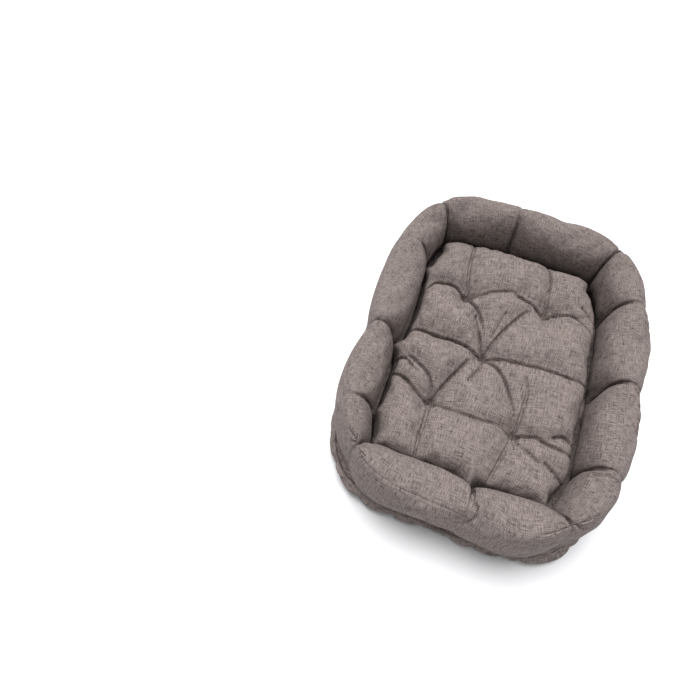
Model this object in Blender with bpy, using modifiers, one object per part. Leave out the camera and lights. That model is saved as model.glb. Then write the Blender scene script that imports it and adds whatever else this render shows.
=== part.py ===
"""Rectangular bolster pet bed: a stuffed base, four channelled wall bolsters sewn to it and to each other at
the corners, and a loose tufted cushion that lies inside and lifts out.

Metres, +Z up. The origin is on the floor under the middle of the bed, X runs across it and Y along it, and the
front wall is the short one at -Y.
"""

import math

import bmesh
import bpy
from mathutils import Vector

# Plan of the bed. The walls stand on a superellipse: |x/a|^n + |y/b|^n = 1.
WALL_LINE_HALF_WIDTH = 0.303
WALL_LINE_HALF_LENGTH = 0.409
WALL_LINE_POWER = 4.45
CORNER_X = 0.237  # a corner seam stands where the wall line crosses this x
# Where each wall's channels cross it: y along a long wall, and x along a short one.
LEFT_CHANNELS = (-0.258, -0.060, 0.233)
RIGHT_CHANNELS = (-0.242, -0.020, 0.222)
FRONT_CHANNEL = 0.027
BACK_CHANNEL = -0.027

# Upright section of a wall bolster: an oval with its foot cut off where it is sewn to the base.
WALL_FOOT_Z = 0.0565
WALL_CREST_Z = 0.226
CHANNEL_CREST_DROP = 0.014
CORNER_CREST_DROP = 0.006
WALL_HALF_THICKNESS = 0.050
CHANNEL_HALF_THICKNESS = 0.0068
FOOT_ANGLE = math.radians(-50)
WALL_SECTION_STEPS = 12
CHAMBER_STEPS = 6
CHAMBER_POWER = 3.0  # how square a chamber's fullness is along the wall

# Base.
BASE_HALF_WIDTH = 0.340
BASE_HALF_LENGTH = 0.452
BASE_LINE_POWER = 4.3
BASE_SEAM_SCALE = 0.955  # the base's top and bottom seams, against its widest line
UNDERSIDE_SCALE = 0.965
FLOOR_PANEL_SCALE = 0.94
BASE_FILLING_SCALE = 0.989  # against the side band
BASE_TOP_Z = 0.0545
BASE_OUTLINE_POINTS = 40
BASE_HEIGHT_STEPS = 6

# Loose cushion.
CUSHION_HALF_WIDTH = 0.243
CUSHION_HALF_LENGTH = 0.347
CUSHION_CORNER_DRAW = 0.10  # how far its corners are drawn in, as a share of each half side
CUSHION_SEAM_Z = 0.083
CUSHION_CROWN = 0.041  # top of the cushion above its perimeter seam
CUSHION_BELLY = 0.036  # how far the underside would hang below the seam if the base didn't flatten it
CROWN_POWER_ACROSS = 2.6  # how square the cushion's crown is, across it and along it
CROWN_POWER_ALONG = 3.2
TUFT_U = 0.44  # tuft rows, as shares of the cushion's half width and half length
TUFT_V = 0.52
TUFT_REACH = 0.042
TOP_DIMPLE_SHARE = 0.80
BOTTOM_DIMPLE_SHARE = 0.62
TUFT_STITCH_WIDTH = 0.009
TUFT_BAR_CLEARANCE = 0.0033
TUFT_THREAD_RADIUS = 0.0007
TUFT_THREAD_BEND = 0.0012
TUFT_HOLE_RADIUS = 0.0012
TUFT_HOLE_DEPTH = 0.14
# Grid lines of the cushion, on one side of its middle, as shares of its half width and half length.
CUSHION_GRID_U = (0.14, 0.28, TUFT_U, 0.62, 0.80, 0.93, 1.0)
CUSHION_GRID_V = (0.13, 0.26, 0.40, TUFT_V, 0.64, 0.76, 0.87, 0.95, 1.0)

# Materials and gaps.
FABRIC = 0.0015
BOTTOM_FABRIC = 0.0018
GAP = 0.0004
FILLING_DEPTH = FABRIC + 0.0026  # how far a filling lies inside the outer face of its cover
FILLING_END_SHARE = 0.30  # how far a wall filling's end stands from its seam, towards the next section
CUSHION_END_SHARE = 0.60
SEAM_THREAD_RADIUS = 0.0007
CHANNEL_STITCH_TOP_Z = 0.165

WALL_FABRIC_COLOUR = (0.255, 0.225, 0.212)
UNDERSIDE_COLOUR = (0.035, 0.033, 0.033)
FIBRE_COLOUR = (0.86, 0.86, 0.84)
THREAD_COLOUR = (0.13, 0.11, 0.105)


def clear_scene():
    for obj in list(bpy.data.objects):
        bpy.data.objects.remove(obj, do_unlink=True)


def make_collection(name):
    collection = bpy.data.collections.new(name)
    bpy.context.scene.collection.children.link(collection)
    return collection


def make_material(name, colour, roughness):
    material = bpy.data.materials.new(name)
    material.use_nodes = True
    shader = material.node_tree.nodes["Principled BSDF"]
    shader.inputs["Base Color"].default_value = (*colour, 1.0)
    shader.inputs["Roughness"].default_value = roughness
    shader.inputs["Metallic"].default_value = 0.0
    return material


def add_object(name, data, collection, material, parent):
    obj = bpy.data.objects.new(name, data)
    collection.objects.link(obj)
    if material is not None:
        data.materials.append(material)
    obj.parent = parent
    return obj


def add_mesh(name, bm, collection, material, parent):
    """Turns a bmesh into a smooth-shaded object with outward normals."""
    bmesh.ops.recalc_face_normals(bm, faces=bm.faces)
    mesh = bpy.data.meshes.new(name)
    bm.to_mesh(mesh)
    bm.free()
    mesh.shade_smooth()
    return add_object(name, mesh, collection, material, parent)


def add_thickness(obj, thickness, offset):
    solidify = obj.modifiers.new("fabric", "SOLIDIFY")
    solidify.thickness = thickness
    solidify.offset = offset
    solidify.use_even_offset = True
    return solidify


def add_sheet(bm, rows, cyclic):
    """Adds a surface through rows of points, each row with the same number of points.

    It is split into triangles always the same way, so that a filling stays parallel to its cover.
    """
    verts = [[bm.verts.new(point) for point in row] for row in rows]
    count = len(rows[0])
    steps = count if cyclic else count - 1
    for first, second in zip(verts, verts[1:]):
        for i in range(steps):
            j = (i + 1) % count
            bm.faces.new((first[i], first[j], second[j]))
            bm.faces.new((first[i], second[j], second[i]))
    return verts


def loft(rows, cyclic, cap_ends):
    """A new bmesh with a surface through rows of points, and a flat cap on each end where asked."""
    bm = bmesh.new()
    verts = add_sheet(bm, rows, cyclic)
    if cap_ends:
        bm.faces.new(verts[0])
        bm.faces.new(list(reversed(verts[-1])))
    return bm


def row_between(first, second, share):
    return [a.lerp(b, share) for a, b in zip(first, second)]


def shrink(bm, distance):
    """Moves every face of a closed surface in by the same distance."""
    bmesh.ops.recalc_face_normals(bm, faces=bm.faces)
    bm.normal_update()
    moves = [vert.normal * (-distance * vert.calc_shell_factor()) for vert in bm.verts]
    for vert, move in zip(bm.verts, moves):
        vert.co += move


# ---------------------------------------------------------------------------- wall bolsters


def wall_line_partner(value, half, other_half):
    """The wall line's other coordinate, where one coordinate is value."""
    share = min(1.0, abs(value) / half) ** WALL_LINE_POWER
    return other_half * (1.0 - share) ** (1.0 / WALL_LINE_POWER)


def wall_line_point(along, side):
    """A point of the wall line and its outward normal. side is front, back, left or right."""
    if side in ("left", "right"):
        y = along
        x = wall_line_partner(y, WALL_LINE_HALF_LENGTH, WALL_LINE_HALF_WIDTH)
        x *= 1 if side == "right" else -1
    else:
        x = along
        y = wall_line_partner(x, WALL_LINE_HALF_WIDTH, WALL_LINE_HALF_LENGTH)
        y *= 1 if side == "back" else -1
    n = WALL_LINE_POWER - 1.0
    normal = Vector((
        math.copysign((abs(x) / WALL_LINE_HALF_WIDTH) ** n / WALL_LINE_HALF_WIDTH, x),
        math.copysign((abs(y) / WALL_LINE_HALF_LENGTH) ** n / WALL_LINE_HALF_LENGTH, y),
        0.0,
    ))
    return Vector((x, y, 0.0)), normal.normalized()


CORNER_Y = wall_line_partner(CORNER_X, WALL_LINE_HALF_WIDTH, WALL_LINE_HALF_LENGTH)
WALL_SEAMS = {
    "front": (-CORNER_X, FRONT_CHANNEL, CORNER_X),
    "back": (-CORNER_X, BACK_CHANNEL, CORNER_X),
    "left": (-CORNER_Y, *LEFT_CHANNELS, CORNER_Y),
    "right": (-CORNER_Y, *RIGHT_CHANNELS, CORNER_Y),
}


def swell(u):
    """How full a chamber is, from 0 at its seams (u = -1 and 1) to 1 in its middle."""
    return math.sqrt(max(0.0, 1.0 - abs(u) ** CHAMBER_POWER))


def crest_drop(along, side):
    """How far the nearer seam pulls the crest down at its own place."""
    ends = (WALL_SEAMS[side][0], WALL_SEAMS[side][-1])
    at_corner = min(abs(along - end) for end in ends) < 1e-6
    return CORNER_CREST_DROP if at_corner else CHANNEL_CREST_DROP


def wall_section(along, side, fullness, drop):
    """The oval section of a wall, open at its foot, from the inner foot over the crest to the outer foot."""
    point, normal = wall_line_point(along, side)
    spread = WALL_HALF_THICKNESS - CHANNEL_HALF_THICKNESS
    half_thickness = CHANNEL_HALF_THICKNESS + spread * fullness
    crest = WALL_CREST_Z - drop * (1.0 - fullness)
    half_height = (crest - WALL_FOOT_Z) / (1.0 - math.sin(FOOT_ANGLE))
    centre_z = crest - half_height
    row = []
    for i in range(WALL_SECTION_STEPS + 1):
        angle = FOOT_ANGLE + (math.pi - 2 * FOOT_ANGLE) * i / WALL_SECTION_STEPS
        offset = -half_thickness * math.cos(angle)
        height = centre_z + half_height * math.sin(angle)
        row.append(point + normal * offset + Vector((0, 0, height)))
    return row


def chamber_rows(start, end, side):
    """Sections along one chamber, closer together near its seams, where it tapers fastest."""
    rows = []
    middle, half = (start + end) / 2, (end - start) / 2
    for i in range(CHAMBER_STEPS + 1):
        u = math.sin(math.pi / 2 * (2 * i / CHAMBER_STEPS - 1))
        drop = crest_drop(start if u < 0 else end, side)
        rows.append(wall_section(middle + half * u, side, swell(u), drop))
    return rows


def make_wall_cover(side, collection, material, parent):
    seams = WALL_SEAMS[side]
    corner_clearance = 2 * GAP
    rows = []
    for start, end in zip(seams, seams[1:]):
        chamber = chamber_rows(start, end, side)
        rows += chamber if not rows else chamber[1:]
    first, last = seams[0] + corner_clearance, seams[-1] - corner_clearance
    rows[0] = wall_section(first, side, 0.0, CORNER_CREST_DROP)
    rows[-1] = wall_section(last, side, 0.0, CORNER_CREST_DROP)
    cover = add_mesh(f"{side}_wall_cover", loft(rows, False, False), collection, material, parent)
    add_thickness(cover, FABRIC, -1.0 if cover_faces_out(cover) else 1.0)


def cover_faces_out(cover):
    """Whether an open sleeve's normals point away from the hollow that the filling takes."""
    top = max(cover.data.polygons, key=lambda face: face.center.z)
    return top.normal.z > 0


def make_wall_fillings(side, collection, material, parent):
    """One closed filling in each chamber, a fabric's thickness inside the cover and short of its seams."""
    seams = WALL_SEAMS[side]
    for number, (start, end) in enumerate(zip(seams, seams[1:]), 1):
        rows = chamber_rows(start, end, side)
        rows[0] = row_between(rows[0], rows[1], FILLING_END_SHARE)
        rows[-1] = row_between(rows[-1], rows[-2], FILLING_END_SHARE)
        bm = loft(rows, True, True)
        shrink(bm, FILLING_DEPTH)
        add_mesh(f"{side}_wall_filling_{number}", bm, collection, material, parent)


def make_rod(name, points, radius, cyclic, collection, material, parent):
    """A thread: a poly spline with a round bevel."""
    curve = bpy.data.curves.new(name, "CURVE")
    curve.dimensions = "3D"
    curve.bevel_depth = radius
    curve.bevel_resolution = 1
    curve.use_fill_caps = not cyclic
    spline = curve.splines.new("POLY")
    spline.points.add(len(points) - 1)
    for target, point in zip(spline.points, points):
        target.co = (*point, 1.0)
    spline.use_cyclic_u = cyclic
    return add_object(name, curve, collection, material, parent)


def make_channel_threads(side, collection, material, parent):
    """The thread that holds the two faces of a wall together along each channel."""
    for number, along in enumerate(WALL_SEAMS[side][1:-1], 1):
        point, _ = wall_line_point(along, side)
        foot = point + Vector((0, 0, WALL_FOOT_Z + 0.006))
        top = point + Vector((0, 0, CHANNEL_STITCH_TOP_Z))
        make_rod(
            f"{side}_channel_thread_{number}", (foot, top), SEAM_THREAD_RADIUS, False,
            collection, material, parent,
        )


def make_corner_tacks(collection, material, parent):
    """A short thread bar in the dip over each corner seam, tying the two wall ends together."""
    half_bar, steps, dip_slope = 0.006, 6, 0.48
    lowest = WALL_CREST_Z - CORNER_CREST_DROP + SEAM_THREAD_RADIUS + 2 * GAP
    for end, y_sign in (("front", -1), ("back", 1)):
        for side in ("left", "right"):
            corner, normal = wall_line_point(CORNER_Y * y_sign, side)
            tangent = Vector((-normal.y, normal.x, 0.0))
            points = []
            for i in range(steps + 1):
                along = half_bar * (2 * i / steps - 1)
                height = Vector((0, 0, lowest + dip_slope * abs(along)))
                points.append(corner + tangent * along + height)
            make_rod(
                f"corner_tack_{end}_{side}", points, SEAM_THREAD_RADIUS, False,
                collection, material, parent,
            )


# ---------------------------------------------------------------------------- base and cushion


def signed_power(value, power):
    return math.copysign(abs(value) ** power, value)


def base_outline(scale, z):
    """A closed row of points round the base, on a superellipse, closest together at its corners."""
    row = []
    for i in range(BASE_OUTLINE_POINTS):
        angle = 2 * math.pi * i / BASE_OUTLINE_POINTS
        x = BASE_HALF_WIDTH * signed_power(math.cos(angle), 2 / BASE_LINE_POWER)
        y = BASE_HALF_LENGTH * signed_power(math.sin(angle), 2 / BASE_LINE_POWER)
        row.append(Vector((x * scale, y * scale, z)))
    return row


def make_base_sheet(name, z, thickness, scale, collection, material, parent):
    """A flat fabric panel of the base's outline."""
    rows = (base_outline(scale, z), base_outline(scale, z + thickness))
    return add_mesh(name, loft(rows, True, True), collection, material, parent)


def base_bulge(share):
    """The base's outline scale at a share of its height, widest half way up."""
    return BASE_SEAM_SCALE + (1 - BASE_SEAM_SCALE) * math.sqrt(max(0.0, 1 - (2 * share - 1) ** 2))


def make_base(collection, fabric, underside, fibre, parent):
    make_base_sheet(
        "base_underside_panel", 0.0, BOTTOM_FABRIC, UNDERSIDE_SCALE, collection, underside, parent
    )
    floor_z = BASE_TOP_Z - FABRIC
    make_base_sheet("base_floor_panel", floor_z, FABRIC, FLOOR_PANEL_SCALE, collection, fabric, parent)
    low, high = BOTTOM_FABRIC + GAP, floor_z - GAP
    steps = BASE_HEIGHT_STEPS
    band_rows = [
        base_outline(base_bulge(i / steps), low + (high - low) * i / steps)
        for i in range(steps + 1)
    ]
    band = add_mesh("base_side_band", loft(band_rows, True, False), collection, fabric, parent)
    add_thickness(band, FABRIC, -1.0)
    pad_low, pad_high = low + GAP, high - GAP
    pad_rows = [
        base_outline(
            base_bulge(i / steps) * BASE_FILLING_SCALE, pad_low + (pad_high - pad_low) * i / steps
        )
        for i in range(steps + 1)
    ]
    add_mesh("base_filling", loft(pad_rows, True, True), collection, fibre, parent)


def cushion_plan(u, v):
    """Maps the square -1..1 to the cushion's plan, a rectangle whose corners are drawn in."""
    x = CUSHION_HALF_WIDTH * u * (1.0 - CUSHION_CORNER_DRAW * v**4)
    y = CUSHION_HALF_LENGTH * v * (1.0 - CUSHION_CORNER_DRAW * u**4)
    return x, y


TUFTS = ((0.0, 0.0), *((TUFT_U * i, TUFT_V * j) for j in (-1, 1) for i in (-1, 1)))
CUSHION_FLOOR_Z = BASE_TOP_Z + GAP


def dimple(x, y):
    """How strongly the nearest tuft pulls a point of the cushion in, from 0 to 1."""
    places = [cushion_plan(*tuft) for tuft in TUFTS]
    nearest = min(math.hypot(x - tx, y - ty) for tx, ty in places)
    return math.exp(-((nearest / TUFT_REACH) ** 2))


def crowning(u, v):
    """The cushion's fullness over its plan: 0 at the seam and 1 over most of the middle."""
    across = max(0.0, 1 - abs(u) ** CROWN_POWER_ACROSS)
    along = max(0.0, 1 - abs(v) ** CROWN_POWER_ALONG)
    return math.sqrt(across * along)


def cushion_top(u, v):
    """A point of the cushion's upper face."""
    x, y = cushion_plan(u, v)
    rise = CUSHION_CROWN * crowning(u, v) * (1 - TOP_DIMPLE_SHARE * dimple(x, y))
    return Vector((x, y, CUSHION_SEAM_Z + FABRIC + GAP / 2 + rise))


def cushion_bottom(u, v):
    """A point of the cushion's lower face, which lies flat on the base."""
    x, y = cushion_plan(u, v)
    rim = CUSHION_SEAM_Z - FABRIC - GAP / 2
    hang = min(CUSHION_BELLY * crowning(u, v), rim - CUSHION_FLOOR_Z)
    return Vector((x, y, rim - hang * (1 - BOTTOM_DIMPLE_SHARE * dimple(x, y))))


def mirrored(stations):
    return (*(-value for value in reversed(stations)), 0.0, *stations)


def cushion_grid(face):
    """Rows of points over one face of the cushion."""
    return [[face(u, v) for u in mirrored(CUSHION_GRID_U)] for v in mirrored(CUSHION_GRID_V)]


def make_cushion_panel(name, face, collection, material, parent):
    panel = add_mesh(name, loft(cushion_grid(face), False, False), collection, material, parent)
    faces_up = panel.data.polygons[0].normal.z > 0
    outer_side_up = face is cushion_top
    add_thickness(panel, FABRIC, -1.0 if faces_up == outer_side_up else 1.0)
    return panel


def make_cushion_filling(collection, material, parent):
    """A closed pad between the two panels, a fabric's thickness inside them and short of the seam."""
    bm = bmesh.new()
    for face in (cushion_top, cushion_bottom):
        rows = cushion_grid(face)
        for row in rows:
            row[0] = row[0].lerp(row[1], CUSHION_END_SHARE)
            row[-1] = row[-1].lerp(row[-2], CUSHION_END_SHARE)
        rows[0] = row_between(rows[0], rows[1], CUSHION_END_SHARE)
        rows[-1] = row_between(rows[-1], rows[-2], CUSHION_END_SHARE)
        add_sheet(bm, rows, False)
    bmesh.ops.bridge_loops(bm, edges=[edge for edge in bm.edges if edge.is_boundary])
    shrink(bm, FILLING_DEPTH)
    return add_mesh("cushion_filling", bm, collection, material, parent)


def tuft_loop(tuft):
    """A closed loop of thread: down one stitch hole, along the underside, and up the other."""
    half, bend = TUFT_STITCH_WIDTH / 2, TUFT_THREAD_BEND
    top_face, bottom_face = cushion_top(*tuft), cushion_bottom(*tuft)
    top = top_face.z + TUFT_BAR_CLEARANCE
    bottom = bottom_face.z - TUFT_BAR_CLEARANCE
    outline = (
        (-half, bottom + bend), (-half, top - bend), (-half + bend, top), (half - bend, top),
        (half, top - bend), (half, bottom + bend), (half - bend, bottom), (-half + bend, bottom),
    )
    return [(top_face.x + across, top_face.y, z) for across, z in outline]


def make_stitch_holes(cutters):
    """The two needle holes at each tuft, as cutters through the whole cushion."""
    for number, tuft in enumerate(TUFTS, 1):
        x, y = cushion_plan(*tuft)
        for hole, across in (("a", -TUFT_STITCH_WIDTH / 2), ("b", TUFT_STITCH_WIDTH / 2)):
            bpy.ops.mesh.primitive_cylinder_add(
                vertices=8, radius=TUFT_HOLE_RADIUS, depth=TUFT_HOLE_DEPTH,
                location=(x + across, y, CUSHION_SEAM_Z),
            )
            cutter = bpy.context.object
            cutter.name = f"stitch_hole_{number}{hole}"
            cutter.hide_render = True
            cutter.display_type = "WIRE"
            for collection in list(cutter.users_collection):
                collection.objects.unlink(cutter)
            cutters.objects.link(cutter)


def make_cushion(collection, cutters, fabric, fibre, thread, parent):
    top = make_cushion_panel("cushion_top_panel", cushion_top, collection, fabric, parent)
    bottom = make_cushion_panel("cushion_bottom_panel", cushion_bottom, collection, fabric, parent)
    filling = make_cushion_filling(collection, fibre, parent)
    make_stitch_holes(cutters)
    for panel in (top, bottom, filling):
        holes = panel.modifiers.new("stitch_holes", "BOOLEAN")
        holes.operation = "DIFFERENCE"
        holes.operand_type = "COLLECTION"
        holes.collection = cutters
    for number, tuft in enumerate(TUFTS, 1):
        points = tuft_loop(tuft)
        make_rod(f"tuft_thread_{number}", points, TUFT_THREAD_RADIUS, True, collection, thread, parent)


def build_bed():
    clear_scene()
    parts = make_collection("pet_bed")
    cutters = make_collection("cutters")
    fabric = make_material("woven_fabric", WALL_FABRIC_COLOUR, 0.9)
    underside = make_material("underside_fabric", UNDERSIDE_COLOUR, 0.8)
    fibre = make_material("polyester_fibre", FIBRE_COLOUR, 0.95)
    thread = make_material("sewing_thread", THREAD_COLOUR, 0.6)
    bed = bpy.data.objects.new("bed", None)
    cushion = bpy.data.objects.new("cushion", None)
    parts.objects.link(bed)
    parts.objects.link(cushion)
    make_base(parts, fabric, underside, fibre, bed)
    for side in WALL_SEAMS:
        make_wall_cover(side, parts, fabric, bed)
        make_wall_fillings(side, parts, fibre, bed)
        make_channel_threads(side, parts, thread, bed)
    make_corner_tacks(parts, thread, bed)
    make_cushion(parts, cutters, fabric, fibre, thread, cushion)


build_bed()
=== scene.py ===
"""The looks of the bolster pet bed: stuffed walls, base and tufted cushion in a woven melange fabric.

Every padded piece is a cloth surface that Blender's Cloth settles under pressure. Its seams, channels, tufts
and creases are lines where the cloth is held, and what it does between them is left to the simulation.
"""
import math

import bpy
import numpy as np
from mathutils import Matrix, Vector


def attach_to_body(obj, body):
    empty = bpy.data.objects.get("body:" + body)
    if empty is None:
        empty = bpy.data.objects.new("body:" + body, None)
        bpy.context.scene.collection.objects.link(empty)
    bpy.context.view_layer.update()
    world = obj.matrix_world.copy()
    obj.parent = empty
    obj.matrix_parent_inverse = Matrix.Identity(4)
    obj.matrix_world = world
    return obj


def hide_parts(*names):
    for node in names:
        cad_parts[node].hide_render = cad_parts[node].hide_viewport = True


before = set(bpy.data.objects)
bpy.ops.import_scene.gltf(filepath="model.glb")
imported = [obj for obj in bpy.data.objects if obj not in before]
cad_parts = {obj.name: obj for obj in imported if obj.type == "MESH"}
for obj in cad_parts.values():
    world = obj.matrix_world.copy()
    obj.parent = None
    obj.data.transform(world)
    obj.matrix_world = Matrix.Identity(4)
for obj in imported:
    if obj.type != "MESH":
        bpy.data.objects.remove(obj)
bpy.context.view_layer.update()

# Walls: the line they stand on, |x/a|^n + |y/b|^n = 1, and their upright oval section.
WALL_A, WALL_B, WALL_POWER = 0.303, 0.409, 4.45
CORNER_X = 0.237
WALL_FOOT_Z = 0.0565
WALL_CREST_Z = 0.224
WALL_THICKNESS = 0.047  # from the wall line to either face
FOOT_ANGLE = math.radians(50)
SECTION_CELLS = 64
RING_CELL = 0.0068

# Cushion.
CUSHION_HALF_WIDTH, CUSHION_HALF_LENGTH = 0.252, 0.362
CUSHION_CORNER_DRAW = 0.10
CUSHION_SEAM_Z = 0.086
CUSHION_CROWN = 0.052
CUSHION_FLOOR_Z = 0.0562
CUSHION_TOP_Z = 0.128
CUSHION_CELL = 0.0044
RIM_CLEARANCE = 0.002  # between the cushion's rim and the walls
CUSHION_CREASE_DEPTH, CUSHION_CREASE_WIDTH = 0.0215, 0.0024
TUFT_LOOP_SINK = 0.0022  # how far a tuft's thread lies below the cloth at the bottom of its tuft

# Base.
BASE_HALF_WIDTH, BASE_HALF_LENGTH, BASE_POWER = 0.340, 0.452, 4.3
BASE_TOP_Z = 0.0545
FLOOR_Z = BASE_TOP_Z - 0.0015
BASE_LOW_Z = 0.0024  # where the base's pad starts, above its underside panel
BASE_EDGE = 0.962  # the edge of the base's flat faces, as a share of its outline
PANEL_EDGE, PANEL_THICKNESS = 0.9625, 0.0018

SETTLE_FRAMES = 20
CLOTH_STIFFNESS = 15.0


# ------------------------------------------------------------------------------------------ helpers


def new_mesh_object(name, points, faces, material, weave):
    """A mesh object. weave is where each point, or each face's corner, lies on the flat cloth, in metres."""
    mesh = bpy.data.meshes.new(name)
    mesh.from_pydata(np.asarray(points).tolist(), [], [list(map(int, face)) for face in faces])
    mesh.shade_smooth()
    place = mesh.attributes.new("weave", "FLOAT_VECTOR", "POINT" if len(weave) == len(points) else "CORNER")
    flat = np.zeros((len(weave), 3), np.float32)
    flat[:, :2] = weave
    place.data.foreach_set("vector", flat.ravel())
    mesh.materials.append(material)
    obj = bpy.data.objects.new(name, mesh)
    bpy.context.scene.collection.objects.link(obj)
    return obj


def superellipse(angle, half_width, half_length, power):
    c, s = np.cos(angle), np.sin(angle)
    x = half_width * np.sign(c) * np.abs(c) ** (2 / power)
    y = half_length * np.sign(s) * np.abs(s) ** (2 / power)
    return x, y


def border_of(index):
    """The point numbers round the edge of a grid, in order."""
    return np.concatenate([index[0, :-1], index[:-1, -1], index[-1, :0:-1], index[:0:-1, 0]])


def grid_faces(index):
    """Quads over a 2-D array of point numbers."""
    a, b, c, d = index[:-1, :-1], index[:-1, 1:], index[1:, 1:], index[1:, :-1]
    return np.stack([a, b, c, d], -1).reshape(-1, 4)


def settle(points, faces, hold, pressure, slack, bending):
    """Where a cloth comes to rest under pressure, with some spare fabric, held at its seams.

    hold is each point's grip: 1 never moves, and less is a spring to where the point starts.
    """
    mesh = bpy.data.meshes.new("settling")
    mesh.from_pydata(points.tolist(), [], faces.tolist())
    cloth = bpy.data.objects.new("settling", mesh)
    scene = bpy.context.scene
    scene.collection.objects.link(cloth)
    grip = cloth.vertex_groups.new(name="hold")
    for i in np.nonzero(hold > 0)[0]:
        grip.add([int(i)], float(hold[i]), "REPLACE")
    modifier = cloth.modifiers.new("cloth", "CLOTH")
    s = modifier.settings
    s.quality = 6
    s.mass = 0.1
    s.air_damping = 1.0
    s.tension_stiffness = s.compression_stiffness = CLOTH_STIFFNESS
    s.shear_stiffness = CLOTH_STIFFNESS / 3
    s.bending_stiffness = bending
    s.tension_damping = s.compression_damping = s.shear_damping = 5.0
    s.bending_damping = 0.5
    s.shrink_min = -slack
    s.vertex_group_mass = "hold"
    s.pin_stiffness = 1.0
    s.use_pressure = True
    s.uniform_pressure_force = pressure
    s.pressure_factor = 1.0
    s.effector_weights.gravity = 0.0
    modifier.collision_settings.use_collision = False
    modifier.collision_settings.use_self_collision = False
    modifier.point_cache.frame_start = 1
    modifier.point_cache.frame_end = SETTLE_FRAMES + 5
    for step in range(1, SETTLE_FRAMES + 1):
        scene.frame_set(step)
    evaluated = cloth.evaluated_get(bpy.context.evaluated_depsgraph_get()).data
    rest = np.empty(len(evaluated.vertices) * 3)
    evaluated.vertices.foreach_get("co", rest)
    bpy.data.objects.remove(cloth, do_unlink=True)
    bpy.data.meshes.remove(mesh)
    scene.frame_set(1)
    return rest.reshape(-1, 3)


def curved(line, steps=8):
    """More points along a smooth curve through the guide points."""
    points = np.array(line, float)
    before = np.vstack([2 * points[0] - points[1], points, 2 * points[-1] - points[-2]])
    result = []
    for i in range(len(points) - 1):
        p0, p1, p2, p3 = before[i:i + 4]
        for t in np.arange(steps) / steps:
            result.append(0.5 * (2 * p1 + (p2 - p0) * t + (2 * p0 - 5 * p1 + 4 * p2 - p3) * t**2
                                 + (3 * p1 - p0 - 3 * p2 + p3) * t**3))
    return [tuple(point) for point in result] + [tuple(points[-1])]


def nearest_on_line(x, y, line):
    """The distance from points of the flat cloth to a line, and how far along it the nearest place is."""
    best, near_along = np.full(x.shape, 9.0), np.zeros(x.shape)
    for number, ((x0, y0), (x1, y1)) in enumerate(zip(line, line[1:])):
        dx, dy = x1 - x0, y1 - y0
        along = np.clip(((x - x0) * dx + (y - y0) * dy) / (dx * dx + dy * dy), 0, 1)
        away = np.hypot(x - x0 - along * dx, y - y0 - along * dy)
        closer = away < best
        best = np.where(closer, away, best)
        near_along = np.where(closer, (number + along) / (len(line) - 1), near_along)
    return best, near_along


def through_grid(grid, i, j):
    """Points at fractional rows i and columns j of a settled grid, on a smooth surface through its points."""
    def weights(t):
        return ((-t + 2 * t**2 - t**3) / 2, (2 - 5 * t**2 + 3 * t**3) / 2,
                (t + 4 * t**2 - 3 * t**3) / 2, (t**3 - t**2) / 2)

    rows, columns = grid.shape[:2]
    row = np.clip(np.floor(i), 0, rows - 2).astype(int)
    column = np.clip(np.floor(j), 0, columns - 2).astype(int)
    total = 0
    for a, row_weight in zip((-1, 0, 1, 2), weights(i - row)):
        for b, column_weight in zip((-1, 0, 1, 2), weights(j - column)):
            share = (row_weight * column_weight)[..., None]
            total = total + share * grid[np.clip(row + a, 0, rows - 1), np.clip(column + b, 0, columns - 1)]
    return total


def grid_normals(points, wrapped=False):
    """Unit normals of a grid of points."""
    down = np.roll(points, -1, 0) - np.roll(points, 1, 0) if wrapped else np.gradient(points, axis=0)
    normal = np.cross(down, np.gradient(points, axis=1))
    return normal / np.maximum(np.linalg.norm(normal, axis=-1, keepdims=True), 1e-12)


def unevenness(x, y, size, seed):
    """Soft random lumps about as large as size, between -1 and 1, over the flat cloth."""
    draw = np.random.default_rng(seed)
    total = 0
    for _ in range(14):
        turn, wave, start = draw.uniform(0, 2 * math.pi), draw.uniform(0.6, 1.5) * size, draw.uniform(0, 6.3)
        total = total + np.sin(2 * math.pi / wave * (x * math.cos(turn) + y * math.sin(turn)) + start)
    return total / 5


def evened(grid, passes):
    """Takes the ripple of one grid step out of a settled sheet; its rim stays."""
    for _ in range(passes):
        new = grid.copy()
        sides = grid[:-2, 1:-1] + grid[2:, 1:-1] + grid[1:-1, :-2] + grid[1:-1, 2:]
        corners = grid[:-2, :-2] + grid[2:, :-2] + grid[:-2, 2:] + grid[2:, 2:]
        new[1:-1, 1:-1] = (4 * grid[1:-1, 1:-1] + 2 * sides + corners) / 16
        grid = new
    return grid


def crease_profile(away, depth, width):
    """How far a crease presses in, at a distance from its line: a narrow valley with raised shoulders."""
    valley = 0.75 * np.exp(-((away / width) ** 2)) + 0.25 * np.exp(-away / (2.4 * width))
    shoulder = np.exp(-(((away - 3.0 * width) / (1.5 * width)) ** 2))
    return depth * (valley - 0.14 * shoulder)


def fading(along):
    """A crease's strength from its start, 0, to its end, 1."""
    return 0.30 + 0.70 * np.clip((1 - along) / 0.35, 0, 1) ** 0.7


def subdivide(obj):
    modifier = obj.modifiers.new("subdivision", "SUBSURF")
    modifier.levels = modifier.render_levels = 1


def attach(piece, body, slot, *nodes):
    """The piece moves with a body and stands for these CAD nodes, which it hides. slot is not used."""
    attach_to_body(piece, body)
    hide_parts(*nodes)


# ---------------------------------------------------------------------------------------- materials


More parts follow.
